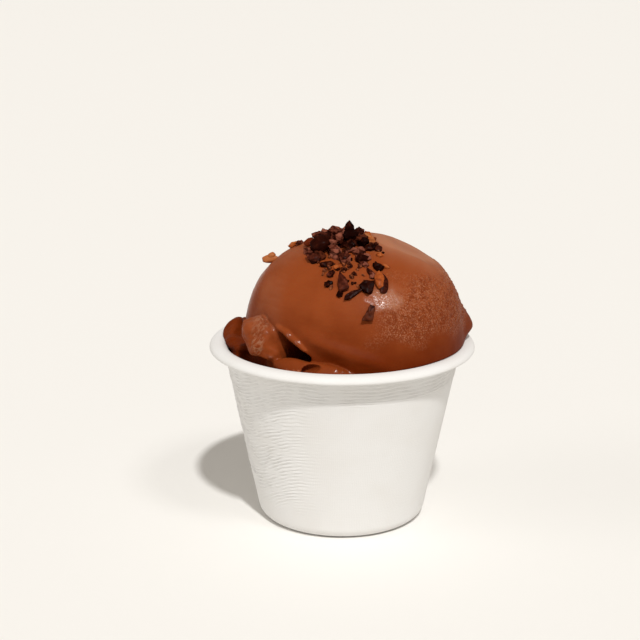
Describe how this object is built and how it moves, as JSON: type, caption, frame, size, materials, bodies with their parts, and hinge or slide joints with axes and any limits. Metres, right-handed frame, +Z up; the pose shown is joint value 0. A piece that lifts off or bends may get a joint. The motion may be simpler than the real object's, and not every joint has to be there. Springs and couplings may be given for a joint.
{
  "type": "chocolate sorbet in a cup",
  "caption": "Round scoop of chocolate sorbet with cacao nibs on top, heaped in a tapered moulded-fibre portion cup with a rolled lip.",
  "frame": {"origin": "centre of the cup's foot, on the surface it stands on", "axes": "+Z up along the cup's axis, -Y toward the side the picture shows, +X to the right of that side"},
  "size_m": [0.076, 0.076, 0.0883],
  "materials": {
    "fibre": "matt moulded plant fibre with a fine screen mark",
    "sorbet": "moist chocolate sorbet, smooth where scooped and icy at the broken edges",
    "nibs": "roasted cacao nibs, broken and slightly shiny"
  },
  "bodies": {
    "root": {"cup": "fibre", "sorbet": "sorbet"}
  },
  "joints": []
}
